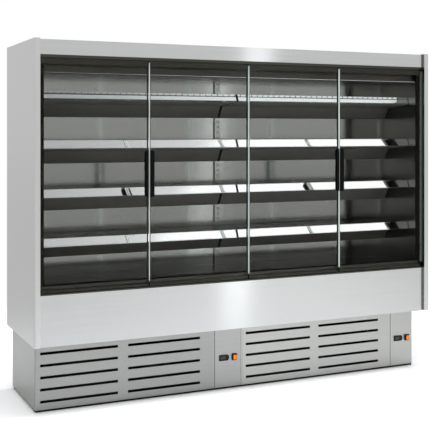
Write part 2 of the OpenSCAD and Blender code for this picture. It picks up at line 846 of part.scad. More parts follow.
// One hook of a bracket, resting on the lower edge of the slot that starts at z
module hook(z) {
    y0 = y_upright - fit;
    y1 = y_upright + upright_t + fit;
    polygon([[y0 - 4, z], [y1, z], [y1, z - 5], [y1 + 4, z - 5], [y1 + 4, z + 9], [y0 - 4, z + 9]]);
}

module shelf_brackets() color(grey_steel) {
    inner = beside(shelf_line, tray_t);
    edge_y = y_upright - fit;
    for (side = [-1, 1], k = levels, x = bracket_xs) on_side(side) translate([0, 0, shelf_level(k)])
        along_x(x, x + bracket_t) union() {
            polygon(concat(inner, [[edge_y, -heel_h + tray_t], [edge_y, shelf_h - flange_h]]));
            for (i = [0, -2]) hook(hook_z + i * slot_step);
        }
}

// Price rail: a sloping face between two small lips
module price_rails() color("#e9ebeb") {
    lip = 2;
    slope = rail_lean / shelf_h;
    for (side = [-1, 1], k = levels) on_side(side) translate([0, 0, shelf_level(k)])
        along_x(shelf_x0, shelf_x1)
            polygon([[y_shelf, 0], [y_shelf + rail_t, 0], [y_shelf + rail_t + rail_lean, shelf_h],
                     [y_shelf + rail_lean, shelf_h], [y_shelf + slope * (shelf_h - lip), shelf_h - lip],
                     [y_shelf + 1 + slope * (shelf_h - lip), shelf_h - lip - 1],
                     [y_shelf + 1 + slope * lip, lip + 1], [y_shelf + slope * lip, lip]]);
}

deck_y0 = y_rail_back + inlet_d;

module deck_trays() color(grey_steel) {
    rear_leg = 20;
    front_leg = 32;
    for (side = [-1, 1]) on_side(side)
        along_x(-half, -shelf_gap / 4)
            polygon(folded([[y_panel, deck_z - rear_leg], [y_panel, deck_z], [deck_y0, deck_z],
                            [deck_y0, deck_z - front_leg]], tray_t));
}

// Slotted inlet between the sill and the deck
module return_grille() color(dark_trim) {
    grille_z = lower_z1 + 17;
    leg = 25;
    edge = inlet_d / 6;
    count = 100;
    step = inner_w / count;
    open_w = step * 0.4;
    difference() {
        along_x(-half, half)
            polygon(folded([[deck_y0, grille_z - leg], [deck_y0, grille_z], [y_rail_back, grille_z],
                            [y_rail_back, grille_z - leg]], tray_t));
        for (i = [0 : count - 1])
            translate([-half + (i + 0.5) * step - open_w / 2, y_rail_back + edge, grille_z - leg / 2])
                cube([open_w, inlet_d - 2 * edge, leg]);
    }
}

// Finned block with its tube ends standing out at both sides
module finned_coil(w, d, h, tubes, fins) {
    fin_t = 2;
    step = (w - fin_t) / fins;
    for (i = [0 : fins]) translate([i * step, 0, 0]) cube([fin_t, d, h]);
    for (j = [0 : tubes - 1], y = [d * bend_row, d * (1 - bend_row)])
        translate([-bend_out, y, (j + 0.5) * h / tubes]) rotate([0, 90, 0])
            cylinder(r = pipe_r, h = w + 2 * bend_out);
}

// The evaporators lie between the fan plate and the air duct behind the back panels
evap_end = 100;
evap_behind_fan = 83;
evap_to_wall = 130;
evap_w = bay_w - 2 * evap_end;
evap_y0 = evap_fan_y + evap_behind_fan;
evap_d = y_wall - evap_to_wall - evap_y0;
evap_h = 150;

module evaporators() color("#bfc4c6") {
    leg = 12;
    for (side = [-1, 1]) on_side(side)
        translate([-bay_w / 2 - evap_w / 2, evap_y0, floor_z + leg]) {
            finned_coil(evap_w, evap_d, evap_h, 4, 30);
            for (x = [0, evap_w - 2]) translate([x, 0, -leg]) cube([2, evap_d, leg]);
        }
}

// Plate with a round mouth for a fan, from z0 to z1
module mouth_plate(x0, x1, z0, z1, y, fx, fz) {
    difference() {
        box([x0, y, z0], [x1, y + plate_t, z1]);
        translate([fx, 0, fz]) rod_y(fan_r + fan_gap, y - 1, y + plate_t + 1);
    }
}

// Plates that the fans blow through: under the decks and behind the condensers
module fan_plates() color(grey_steel) {
    for (side = [-1, 1]) {
        on_side(side)
            mouth_plate(-half, -0.5, floor_z, deck_z - tray_t, evap_fan_y, -bay_w / 2, evap_fan_z);
        mouth_plate(cond_x0(side), cond_x0(side) + cond_w, base_z0 + angle_t, cond_z0 + cond_h, cond_fan_y,
                    bay_x(side) + cond_fan_x, cond_fan_z);
    }
}

hub_r = 28;
shaft_r = 4;

// Fan on the Y axis, its mouth plate at y = 0, blowing to the back
module fan_rotor() {
    blade_t = 1.6;
    pitch = 32;
    difference() {
        rod_y(hub_r, -14, 12);
        rod_y(shaft_r + running_fit, -15, 13);
    }
    intersection() {
        difference() {
            rod_y(fan_r, -14, 14);
            rod_y(hub_r - 1, -15, 15);
        }
        for (i = [0 : fan_blades - 1]) rotate([0, i * 360 / fan_blades, 0]) rotate([0, 0, pitch])
            translate([-26, -blade_t / 2, 0]) cube([52, blade_t, fan_r + 5]);
    }
}

// Motor behind a fan, on three arms that stand on the mouth plate
module fan_motor() {
    can_r = 36;
    can_y0 = 16;
    can_y1 = 52;
    arm_y = 30;
    arm_w = 10;
    arm_t = 4;
    foot_l = 6;
    seat_r = fan_r + fan_gap + 8;
    rod_y(shaft_r, -12, can_y0);
    rod_y(can_r, can_y0, can_y1);
    for (a = [30, 150, 270]) rotate([0, a, 0]) {
        translate([can_r - arm_t, arm_y, -arm_w / 2]) cube([seat_r + foot_l - can_r + arm_t, arm_t, arm_w]);
        translate([seat_r, plate_t, -arm_w / 2]) cube([foot_l, arm_y - plate_t + arm_t, arm_w]);
    }
}

// Places a fan part at the evaporator or the condenser of one bay
module at_evaporator_fan(side) translate([side * bay_w / 2, evap_fan_y, evap_fan_z]) children();
module at_condenser_fan(side) translate([bay_x(side) + cond_fan_x, cond_fan_y, cond_fan_z]) children();

module fan_motors() color(black) {
    for (side = [-1, 1]) {
        at_evaporator_fan(side) fan_motor();
        at_condenser_fan(side) fan_motor();
    }
}

// Finned condenser on the floor pan, its side plates reaching back to the fan plate
module condensers() color("#8f9496") {
    z0 = base_z0 + angle_t;
    for (side = [-1, 1]) {
        x0 = cond_x0(side);
        translate([x0, cond_y0, cond_z0]) finned_coil(cond_w, cond_d, cond_h, cond_rows, 20);
        for (x = [x0, x0 + cond_w - plate_t])
            box([x, cond_y0, z0], [x + plate_t, cond_fan_y, cond_z0 + cond_h]);
    }
}

compressor_from_edge = 490;
function compressor_x(side) = bay_x(side) + bay_w - compressor_from_edge;
compressor_y = 60;
compressor_z = base_z0 + angle_t + 22;

// Hermetic compressor: a domed shell on a plate and four rubber feet
module compressors() color(black) {
    shell_h = compressor_r * 2.05;
    dome_r = compressor_r * 1.25;
    plate = [compressor_r * 2.4, compressor_r * 1.5, 4];
    foot_in = 18;
    rubber_r = 14;
    cover = [30, 50, 60];
    cover_z = 70;
    for (side = [-1, 1]) translate([compressor_x(side), compressor_y, compressor_z]) {
        rotate_extrude() intersection() {
            square([compressor_r, shell_h]);
            translate([0, dome_r]) circle(dome_r);
            translate([0, shell_h - dome_r]) circle(dome_r);
        }
        translate([-plate.x / 2, -plate.y / 2, plate.z]) cube(plate);
        for (x = [-1, 1], y = [-1, 1])
            translate([x * (plate.x / 2 - foot_in), y * (plate.y / 2 - foot_in), base_z0 + angle_t - compressor_z])
                cylinder(r = rubber_r, h = compressor_z + plate.z - base_z0 - angle_t);
        translate([compressor_r - 6, -cover.y / 2, cover_z]) cube(cover);
    }
}

// Tube along a list of points, with round elbows
module tube(points, r) {
    for (i = [0 : len(points) - 2]) {
        a = points[i];
        b = points[i + 1];
        d = b - a;
        translate(a) rotate([0, acos(d.z / norm(d)), atan2(d.y, d.x)]) cylinder(r = r, h = norm(d));
    }
    for (i = [1 : len(points) - 2]) translate(points[i]) sphere(r);
}

// Hot gas tube from the compressor to the top row of the condenser, and suction tube up to the body
module refrigerant_pipes() color(copper) {
    elbow = 30;
    gas_z = compressor_z + compressor_r;
    suction_z = compressor_z + compressor_r * 1.2;
    top_row_z = cond_z0 + cond_h * (cond_rows - 0.5) / cond_rows;
    coil_y = cond_y0 + cond_d * bend_row;
    for (side = [-1, 1]) {
        coil_x = cond_x0(side) + cond_w + bend_out;
        shell_x = compressor_x(side) - compressor_r;
        drop_x = shell_x - elbow * 2 / 3;
        suction_x = compressor_x(side) + compressor_r / 5;
        shell_y = compressor_y + compressor_r;
        tube([[coil_x + fit, coil_y, top_row_z], [coil_x + elbow, coil_y, top_row_z],
              [coil_x + elbow, compressor_y, top_row_z], [drop_x, compressor_y, top_row_z],
              [drop_x, compressor_y, gas_z], [shell_x - fit, compressor_y, gas_z]], pipe_r);
        tube([[suction_x, shell_y + fit, suction_z], [suction_x, shell_y + elbow, suction_z],
              [suction_x, shell_y + elbow, body_z0 - 0.5]], pipe_r + 1);
    }
}

base_frame();
levelling_feet();
toe_strip();
plinth_sides();
rear_service_panel();
grille(-1);  // grille_left
grille(1);  // grille_right
control_panel(-1);  // control_panel_left
control_panel(1);  // control_panel_right
controllers();
control_boxes();
switch_bezels();
rocker(-1);  // rocker_left
rocker(1);  // rocker_right
end_panel(-1);  // end_panel_left
end_panel(1);  // end_panel_right
side_liners();
body_shell();
body_foam();
top_fascia();
lower_fascia();
header_rail();
sill_rail();
door_jambs();
pivot_bushes();
door_glass(1);  // door_1_glass
door_frame(1);  // door_1_frame
door_handle(1);  // door_1_handle
door_glass(2);  // door_2_glass
door_frame(2);  // door_2_frame
door_handle(2);  // door_2_handle
door_glass(3);  // door_3_glass
door_frame(3);  // door_3_frame
door_handle(3);  // door_3_handle
door_glass(4);  // door_4_glass
door_frame(4);  // door_4_frame
door_handle(4);  // door_4_handle
ceiling_duct();
air_outlet();
led_light();
back_panels();
shelf_uprights();
shelf(0);  // shelf_1
shelf(1);  // shelf_2
shelf(2);  // shelf_3
shelf(3);  // shelf_4
shelf_brackets();
price_rails();
deck_trays();
return_grille();
evaporators();
fan_plates();
color(black) at_evaporator_fan(-1) fan_rotor();  // evaporator_fan_left
color(black) at_evaporator_fan(1) fan_rotor();  // evaporator_fan_right
fan_motors();
condensers();
color(black) at_condenser_fan(-1) fan_rotor();  // condenser_fan_left
color(black) at_condenser_fan(1) fan_rotor();  // condenser_fan_right
compressors();
refrigerant_pipes();
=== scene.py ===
# Glass door multideck fridge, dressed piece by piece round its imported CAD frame.
import math

import bpy
import numpy as np
from mathutils import Euler, Matrix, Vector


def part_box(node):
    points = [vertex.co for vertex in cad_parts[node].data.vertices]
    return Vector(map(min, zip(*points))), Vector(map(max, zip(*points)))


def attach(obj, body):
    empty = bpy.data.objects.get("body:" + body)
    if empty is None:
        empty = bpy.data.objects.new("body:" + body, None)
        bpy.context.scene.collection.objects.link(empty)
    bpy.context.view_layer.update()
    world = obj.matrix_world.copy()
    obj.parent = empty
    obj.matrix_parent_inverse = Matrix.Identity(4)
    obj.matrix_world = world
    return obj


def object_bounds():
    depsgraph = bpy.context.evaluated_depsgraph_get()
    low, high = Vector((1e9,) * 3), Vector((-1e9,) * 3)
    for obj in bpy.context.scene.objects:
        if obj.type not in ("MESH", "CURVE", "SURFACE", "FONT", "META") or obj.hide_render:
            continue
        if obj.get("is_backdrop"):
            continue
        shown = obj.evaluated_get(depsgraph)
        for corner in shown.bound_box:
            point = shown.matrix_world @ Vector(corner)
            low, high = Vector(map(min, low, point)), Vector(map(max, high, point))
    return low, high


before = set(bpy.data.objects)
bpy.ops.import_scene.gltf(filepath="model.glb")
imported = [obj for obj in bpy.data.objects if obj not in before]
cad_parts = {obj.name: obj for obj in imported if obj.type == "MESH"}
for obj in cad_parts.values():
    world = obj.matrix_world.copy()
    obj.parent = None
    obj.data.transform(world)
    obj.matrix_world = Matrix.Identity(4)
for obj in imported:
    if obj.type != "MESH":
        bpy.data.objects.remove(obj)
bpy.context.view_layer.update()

# Camera
# The photograph was taken level, 1.53 m above the floor and 24.7 degrees to the left of the front, with a
# long lens. The picture is shifted down instead of tilting the camera, so upright edges stay parallel.
camera_data = bpy.data.cameras.new("photo_camera")
camera_data.lens = 77.53
camera_data.shift_y = -0.1949
camera = bpy.data.objects.new("photo_camera", camera_data)
camera.location = (-2.4600, -5.1836, 1.5298)
camera.rotation_euler = (math.pi / 2, 0, math.radians(-24.7))
bpy.context.scene.collection.objects.link(camera)
bpy.context.scene.camera = camera
bpy.context.scene.view_settings.view_transform = "Standard"


# Machine base: frame, service panel, fan plates and boxes
# The frame and its pan are 3 mm steel, welded, with a dull black skin and a faint orange peel; that black is
# painted shade, which darkens the base behind the slots. Boxes, plates and the rear panel are galvanised:
# zinc crystals 12 mm across, each with its own tone and sheen. The plates in the base and the panel's inner
# side are in the same black, painted shade as well.
def linear(colour):
    """Linear RGBA of an sRGB hex colour.

    Each channel c is c / 12.92 up to 0.04045, and ((c + 0.055) / 1.055) ** 2.4 above that."""
    c = np.array([int(colour[i:i + 2], 16) for i in (1, 3, 5)]) / 255
    return (*np.where(c <= 0.04045, c / 12.92, ((c + 0.055) / 1.055) ** 2.4), 1.0)


def connect(tree, node, links):
    """Links a node's inputs, by name or number, from other nodes' outputs."""
    for socket, output in links.items():
        tree.links.new(output, node.inputs[socket])


def add(tree, kind, values=None, links=None, **settings):
    """Adds a shader node with its settings, its inputs' values and its links from other nodes' outputs.

    Inputs of Mix go by number: 0 is the share of the second, 2 and 3 are two numbers, 6 and 7 two colours,
    and the mixed colour is output 2. Inputs of Math, VectorMath and MixShader go by number too."""
    node = tree.nodes.new("ShaderNode" + kind)
    for name, value in settings.items():
        setattr(node, name, value)
    for socket, value in (values or {}).items():
        node.inputs[socket].default_value = value
    connect(tree, node, links or {})
    return node


def surface(name, colour, metallic, roughness, values=None):
    """Starts a material with one Principled shader, which holds each number that is the same all over."""
    material = bpy.data.materials.new(name)
    material.use_nodes = True
    tree = material.node_tree
    tree.nodes.clear()
    even = {"Base Color": linear(colour), "Metallic": metallic, "Roughness": roughness}
    shader = add(tree, "BsdfPrincipled", {**even, **(values or {})})
    add(tree, "OutputMaterial", links={"Surface": shader.outputs["BSDF"]})
    add(tree, "TexCoord")
    return material


def parts(material):
    """Node tree, Principled shader and Object coordinates of a material that surface has started."""
    tree = material.node_tree
    return tree, tree.nodes["Principled BSDF"], tree.nodes["Texture Coordinate"].outputs["Object"]


def grained(material, per_metre, strength, depth, detail=2.0):
    """Gives a moulded, sprayed or woven skin its fine relief, with per_metre bumps to the metre."""
    tree, shader, place = parts(material)
    bumps = add(tree, "TexNoise", {"Scale": per_metre, "Detail": detail}, {"Vector": place})
    relief = add(tree, "Bump", {"Strength": strength, "Distance": depth}, {"Height": bumps.outputs[0]})
    connect(tree, shader, {"Normal": relief.outputs["Normal"]})
    return material


def galvanised(name, dark, light):
    """Zinc coating: cells of 12 mm between two greys, each a little rougher or smoother than the next."""
    material = surface(name, light, 1.0, 0.42)
    tree, shader, place = parts(material)
    spangle = add(tree, "TexVoronoi", {"Scale": 85.0, "Randomness": 1.0}, {"Vector": place})
    cell = add(tree, "SeparateColor", links={"Color": spangle.outputs["Color"]})
    tone = add(tree, "Mix", {6: linear(dark), 7: linear(light)}, {0: cell.outputs["Red"]}, data_type="RGBA")
    sheen = add(tree, "MapRange", {"To Min": 0.34, "To Max": 0.5}, {"Value": cell.outputs["Green"]})
    connect(tree, shader, {"Base Color": tone.outputs[2], "Roughness": sheen.outputs["Result"]})
    return material


def dress(names, *materials, choose=None):
    """Gives CAD nodes their material slots.

    choose takes the faces' centres and normals, each as three rows along X, Y and Z, and returns a slot
    number for each face."""
    for name in names:
        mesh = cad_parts[name].data
        mesh.materials.clear()
        for material in materials:
            mesh.materials.append(material)
        count = len(mesh.polygons)
        centres, normals = np.empty(count * 3), np.empty(count * 3)
        mesh.polygons.foreach_get("center", centres)
        mesh.polygons.foreach_get("normal", normals)
        slots = choose(centres.reshape(-1, 3).T, normals.reshape(-1, 3).T) if choose else np.zeros(count)
        mesh.polygons.foreach_set("material_index", np.asarray(slots, np.int32))


# Rows of centres and normals, the share of a normal that makes a face look along an axis, and the distance in
# metres within which a face counts as lying in a plane
X, Y, Z = 0, 1, 2
square_on = 0.9
near = 0.0003
base_fans_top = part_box("base_frame")[0].z + 0.4

zinc = galvanised("galvanised_steel", "#999d9f", "#a8acae")
# Black that stands in for shade, inside the base and at the shelves' gaps: painted shade.
shade_black = grained(surface("black_painted_shade", "#0d0d0d", 0.0, 0.55, {"Specular IOR Level": 0.15}),
                      per_metre=420.0, strength=0.2, depth=0.0004)
dress(["control_boxes"], zinc)
dress(["rear_service_panel"], shade_black, zinc, choose=lambda centre, normal: normal[Y] > square_on)
dress(["fan_plates"], zinc, shade_black, choose=lambda centre, normal: centre[Z] < base_fans_top)


# Levelling feet and toe strip
# Each foot is a moulded polyamide pad on a zinc plated M10 stem with a lock nut, uneven in sheen from the
# lathe. The toe strip is extruded black PVC with faint level die lines, as matt as the pads.
def patchy(material, per_metre, smooth, rough, detail=2.0):
    """Gives a surface its uneven sheen, with per_metre patches to the metre from smooth to rough."""
    tree, shader, place = parts(material)
    patches = add(tree, "TexNoise", {"Scale": per_metre, "Detail": detail}, {"Vector": place})
    sheen = add(tree, "MapRange", {"To Min": smooth, "To Max": rough}, {"Value": patches.outputs[0]})
    connect(tree, shader, {"Roughness": sheen.outputs["Result"]})
    return material


def lines(tree, place, per_metre, detail=2.0, roughness=0.5):
    """Noise drawn out into lines. per_metre counts them along X, Y and Z, and is small along the lines."""
    drawn = add(tree, "Mapping", {"Scale": per_metre}, {"Vector": place})
    noise = add(tree, "TexNoise", {"Scale": 1.0, "Detail": detail, "Roughness": roughness},
                {"Vector": drawn.outputs["Vector"]})
    return noise.outputs[0]


def extruded(material, per_metre, strength, depth):
    """Gives an extruded plastic the fine lines that its die leaves along it."""
    tree, shader, place = parts(material)
    relief = add(tree, "Bump", {"Strength": strength, "Distance": depth},
                 {"Height": lines(tree, place, per_metre)})
    connect(tree, shader, {"Normal": relief.outputs["Normal"]})
    return material


pad_top = 0.0081
moulded_black = grained(surface("black_polyamide", "#111111", 0.0, 0.55, {"Specular IOR Level": 0.3}),
                        per_metre=900.0, strength=0.25, depth=0.0003)
plated = patchy(surface("zinc_plated_steel", "#b9bcba", 1.0, 0.3), per_metre=350.0, smooth=0.24, rough=0.38)
dress(["levelling_feet"], moulded_black, plated, choose=lambda centre, normal: centre[Z] > pad_top)
strip_pvc = extruded(surface("black_pvc_strip", "#0e0e0e", 0.0, 0.45, {"Specular IOR Level": 0.25}),
                     per_metre=(2.0, 2.0, 600.0), strength=0.2, depth=0.0002)
dress(["toe_strip"], strip_pvc)


# Cladding of the base: side sheets, slotted grilles, control panels
# 2 mm stainless sheet, brushed level before it was cut and folded, screwed to the base frame from behind. The
# left unit's sheets and the sides are drawn darker than the right unit's: painted shade. Brush lines are 0.2
# mm apart; they are drawn 8 mm apart, so that they show as the faint level streaks of real sheet.
def brushed(name, dark, light, smooth, rough, per_metre, relief=0.04, across=None):
    """Brushed or drawn metal: its lines move the colour, the roughness and the height together.

    per_metre counts the lines along X, Y and Z. across is the direction over the lines, in which they spread
    a highlight out; without it the highlight stays round."""
    material = surface(name, light, 1.0, rough)
    tree, shader, place = parts(material)
    streaks = lines(tree, place, per_metre, detail=4.0, roughness=0.6)
    tone = add(tree, "Mix", {6: linear(dark), 7: linear(light)}, {0: streaks}, data_type="RGBA")
    sheen = add(tree, "MapRange", {"From Min": 0.3, "From Max": 0.7, "To Min": smooth, "To Max": rough},
                {"Value": streaks})
    height = add(tree, "Bump", {"Strength": relief, "Distance": 0.0005}, {"Height": streaks})
    connect(tree, shader, {"Base Color": tone.outputs[2], "Roughness": sheen.outputs["Result"],
                           "Normal": height.outputs["Normal"]})
    if across:
        shader.inputs["Anisotropic"].default_value = 0.9
        tangent = add(tree, "CombineXYZ", dict(zip("XYZ", across)))
        connect(tree, shader, {"Tangent": tangent.outputs["Vector"]})
    return material


level_brush = (1.5, 1.5, 130.0)
plinth_steel = brushed("shaded_stainless_plinth", "#bfbfbc", "#cacac7", 0.3, 0.38, level_brush)
dress(["grille_right", "control_panel_right"], plinth_steel)
# Darker copies of the plinth's steel for the left unit's sheets and the sides: painted shade.
for name, dark, light in (("plinth_sides", "#b8b8b5", "#c3c3c0"), ("grille_left", "#a8a8a6", "#b3b3b1"),
                          ("control_panel_left", "#b0b0ae", "#bbbbb9")):
    dress([name], brushed(f"shaded_stainless_{name}", dark, light, 0.3, 0.38, level_brush))

# The base frame's middle post carries a strip of the same sheet on its front, in line with the grilles.
strip_half_width = 0.02
strip_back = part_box("grille_left")[0].y + 0.003


def base_frame_faces(centre, normal):
    """1 for the middle post's front strip and 0 for the rest of the frame."""
    return (np.abs(centre[X]) < strip_half_width) & (centre[Y] < strip_back)


dress(["base_frame"], shade_black, plinth_steel, choose=base_frame_faces)

# Controllers
# A thermostat in a glossy black ABS face, clipped into the panel, with a smoked window over its display. The
# face shows the soft waves of its mould, the window a faint haze, and the housing behind the panel is dull.
face_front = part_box("controllers")[0].y
face_back = face_front + 0.0055
window_floor = face_front + 0.0008
gloss_black = grained(surface("black_abs_face", "#0b0b0c", 0.0, 0.22, {"Specular IOR Level": 0.3}),
                      per_metre=260.0, strength=0.05, depth=0.0004, detail=1.0)
smoked = patchy(surface("smoked_polycarbonate", "#1a0605", 0.0, 0.08, {"Coat Weight": 0.6}),
                per_metre=40.0, smooth=0.05, rough=0.12)


def controller_faces(centre, normal):
    """0 for the face, 1 for the floor of the display window, 2 for the housing behind the panel."""
    window = (np.abs(centre[Y] - window_floor) < near) & (normal[Y] < -square_on)
    return np.where(window, 1, np.where(centre[Y] > face_back, 2, 0))


dress(["controllers"], gloss_black, smoked, moulded_black, choose=controller_faces)


# Switches
# A rocker of translucent orange polycarbonate tips on two pins in a black bezel. It glows faintly, a painted
# light in place of a lamp behind it, which lifts it out of the shade under the body. Its flanks are dull and
# dark, so that from the left the rocker reads half black and half orange.
def toned(material, per_metre, dark, light, detail=2.0):
    """Gives a surface its uneven colour, with per_metre clouds to the metre from dark to light."""
    tree, shader, place = parts(material)
    clouds = add(tree, "TexNoise", {"Scale": per_metre, "Detail": detail}, {"Vector": place})
    tone = add(tree, "Mix", {6: linear(dark), 7: linear(light)}, {0: clouds.outputs[0]}, data_type="RGBA")
    connect(tree, shader, {"Base Color": tone.outputs[2]})
    return material


# Both halves of a rocker's front lean, so less than square_on of their normals points to the front.
rocker_lean = 0.7
rocker_front = face_front + 0.004
# Painted glow that lifts the rocker out of the shade under the body.
painted_glow_orange = {"Emission Color": linear("#ff7a00"), "Emission Strength": 0.25, "Coat Weight": 0.3}
amber = toned(surface("amber_polycarbonate", "#ff8306", 0.0, 0.25, painted_glow_orange), 90.0, "#f77600", "#ff9412")
dress(["switch_bezels"], moulded_black)
dress(["rocker_left", "rocker_right"], moulded_black, amber,
      choose=lambda centre, normal: (normal[Y] < -rocker_lean) & (centre[Y] < rocker_front))

# Insulated body and fascias
# The tub is 40 to 45 mm of polyurethane foam between skins of galvanised and coated sheet, foamed in one. The
# two fascias are 2 mm stainless, folded at both edges and hooked over the tub's front; their level brushing
# draws every highlight out upright.
foam = surface("polyurethane_foam", "#e8d9a0", 0.0, 0.85)
tree, shader, place = parts(foam)
cells = add(tree, "TexVoronoi", {"Scale": 500.0}, {"Vector": place})
pitting = add(tree, "Bump", {"Strength": 0.5, "Distance": 0.0008}, {"Height": cells.outputs["Distance"]})
connect(tree, shader, {"Normal": pitting.outputs["Normal"]})
dress(["body_foam"], foam)
tub_skin = brushed("coated_body_sheet", "#b5b7b6", "#c6c8c7", 0.36, 0.46, (1.5, 1.5, 60.0))
dress(["body_shell"], tub_skin)
fascia_steel = brushed("shaded_stainless_fascia", "#d5d6d6", "#dfe0e0", 0.2, 0.24, (1.2, 1.2, 110.0),
                       relief=0.02, across=(0.0, 0.0, 1.0))
dress(["top_fascia", "lower_fascia"], fascia_steel)

# End panels
# Each is a 1.2 mm stainless cover, brushed upright, bent round the front edge with a large outer and a small
# inner radius, and filled with an insulated board. The board's face towards the doors is a dark gloss
# laminate, a slightly uneven mirror.
panel_steel = brushed("shaded_stainless_panel", "#dcdddc", "#e6e7e6", 0.28, 0.36, (110.0, 110.0, 1.2))
dress(["end_panel_left", "end_panel_right"], panel_steel)
laminate = patchy(surface("dark_mirror_laminate", "#85857f", 1.0, 0.2),
                  per_metre=6.0, smooth=0.16, rough=0.26)
board = toned(surface("insulated_board_core", "#b8ad8c", 0.0, 0.8), 400.0, "#a89d7c", "#c4ba9a", detail=3.0)
half_inside = -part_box("body_foam")[0].x


def liner_faces(centre, normal):
    """1 for the laminate, which lines the space between the end panels, and 0 for the board's core."""
    return (np.abs(np.abs(centre[X]) - half_inside) < near) & (np.abs(normal[X]) > square_on)


dress(["side_liners"], board, laminate, choose=liner_faces)

# Door rails, jambs and bushes
# Sill, header and jambs are aluminium extrusions, anodised dark bronze; the die leaves faint lines along
# them. The jambs are drawn darker than the rails: painted shade. The doors turn in turned black acetal
# bushes pressed into both rails, dull with a touch of shine.
bronze = brushed("dark_anodised_aluminium", "#4a4944", "#57564f", 0.28, 0.38, (2.0, 300.0, 300.0), 0.03)
dress(["header_rail", "sill_rail"], bronze)
# The jambs' darker bronze is painted shade.
shaded_bronze_upright = brushed("dark_anodised_jamb_shaded", "#262521", "#302f2b", 0.26, 0.36, (300.0, 300.0, 2.0), 0.03)
dress(["door_jambs"], shaded_bronze_upright)
acetal = patchy(surface("black_acetal", "#151515", 0.0, 0.4, {"Specular IOR Level": 0.3}),
                per_metre=200.0, smooth=0.34, rough=0.48)
dress(["pivot_bushes"], acetal)


# Doors
# Each leaf is two 4 mm panes of low reflection glass on a dark spacer frame, with a black handle whose inner
# side is a grey insert. The glass hardly shows; its cut edges at top and bottom are green. Both upright edges
# carry a strip of clear hard PVC that ends in black caps.
def see_through(material, veil):
    """Lets shadow, diffuse and glossy rays pass a glass with only its faint veil: it shades nothing."""
    tree, shader = parts(material)[:2]
    ray = add(tree, "LightPath").outputs
    unseen = add(tree, "Math", links={0: ray["Is Shadow Ray"], 1: ray["Is Diffuse Ray"]},
                 operation="MAXIMUM")
    passed = add(tree, "Math", links={0: unseen.outputs["Value"], 1: ray["Is Glossy Ray"]},
                 operation="MAXIMUM")
    clear = add(tree, "BsdfTransparent", {"Color": linear(veil)})
    mixed = add(tree, "MixShader", links={0: passed.outputs["Value"], 1: shader.outputs["BSDF"],
                                          2: clear.outputs["BSDF"]})
    connect(tree, tree.nodes["Material Output"], {"Surface": mixed.outputs["Shader"]})
    return material


glass = surface("low_reflection_glass", "#fdfdfd", 0.0, 0.0, {"Transmission Weight": 1.0, "IOR": 1.1})
glass = see_through(patchy(glass, per_metre=3.0, smooth=0.0, rough=0.004), "#fafafa")
cut_edge = patchy(surface("glass_cut_edge", "#5e7a70", 0.0, 0.25, {"Transmission Weight": 0.3}),
                  per_metre=700.0, smooth=0.2, rough=0.4)
spacer = brushed("dark_anodised_spacer", "#3a3935", "#484741", 0.3, 0.4, (300.0, 300.0, 2.0), 0.03)
grip = grained(surface("black_soft_polyamide", "#050505", 0.0, 0.3, {"Specular IOR Level": 0.12}),
               per_metre=1100.0, strength=0.15, depth=0.0002, detail=1.0)
grip_insert = grained(surface("grey_soft_insert", "#8a8a88", 0.0, 0.4),
                      per_metre=700.0, strength=0.15, depth=0.0002, detail=1.0)

# The strip has a painted glow along its whole length, strongest on its rear faces, which lightens its
# mirror image in the back panels too.
# Its caps are the same section, so both ends of the strip's material are black.
glass_low, glass_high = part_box("door_1_glass")
lower_cap_top = glass_low.z + 0.027
upper_cap_foot = glass_high.z - 0.006


def painted_glow_strip(name, strength):
    """Clear PVC with faint die lines and a painted glow of the given strength between its two black caps."""
    material = surface(name, "#ccd6d3", 0.0, 0.3)
    tree, shader, place = parts(material)
    die_lines = lines(tree, place, (400.0, 400.0, 3.0))
    tone = add(tree, "Mix", {6: linear("#c3cecb"), 7: linear("#d6dfdc")}, {0: die_lines}, data_type="RGBA")
    height = add(tree, "SeparateXYZ", links={"Vector": place}).outputs["Z"]
    above = add(tree, "Math", {1: upper_cap_foot}, {0: height}, operation="GREATER_THAN")
    below = add(tree, "Math", {1: lower_cap_top}, {0: height}, operation="LESS_THAN")
    cap = add(tree, "Math", links={0: above.outputs["Value"], 1: below.outputs["Value"]},
              operation="MAXIMUM")
    capped = add(tree, "Mix", {7: linear("#0b0b0b")}, {0: cap.outputs["Value"], 6: tone.outputs[2]},
                 data_type="RGBA")
    glow = add(tree, "MapRange", {"To Min": strength, "To Max": 0.0}, {"Value": cap.outputs["Value"]})
    connect(tree, shader, {"Base Color": capped.outputs[2], "Emission Color": capped.outputs[2],
                           "Emission Strength": glow.outputs["Result"]})
    return material


edge_width = 0.02
# Painted glow: faint on the strips' sides, strong on their rear faces.
strip_side = painted_glow_strip("clear_strip_painted_glow", 0.38)
strip_rear = painted_glow_strip("clear_strip_painted_glow_back", 1.6)


def glass_faces(centre, normal):
    """1 for the panes' green cut edges at top and bottom, and 0 for the rest."""
    return np.abs(normal[Z]) > square_on


def frame_faces(left, right):
    """Chooser for the frame of a leaf whose glass reaches from left to right along X.

    1 is for the strips' outer faces, 2 for the rear faces of the upright edges, 0 for the dark rest."""
    def choose(centre, normal):
        outside = (centre[X] < left - near) | (centre[X] > right + near)
        upright = (centre[X] < left + edge_width) | (centre[X] > right - edge_width)
        side = outside & (np.abs(normal[X]) > square_on)
        return np.where(upright & (normal[Y] > square_on), 2, side)
    return choose


rounded_back = 0.5


def handle_faces(centre, normal):
    """1 for the grey insert, which shows at the rounded back and from below, and 0 for the black grip."""
    return (normal[Y] > rounded_back) | (normal[Z] < -square_on)


for number in (1, 2, 3, 4):
    low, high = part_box(f"door_{number}_glass")
    dress([f"door_{number}_glass"], glass, cut_edge, choose=glass_faces)
    dress([f"door_{number}_frame"], spacer, strip_side, strip_rear, choose=frame_faces(low.x, high.x))
    dress([f"door_{number}_handle"], grip, grip_insert, choose=handle_faces)

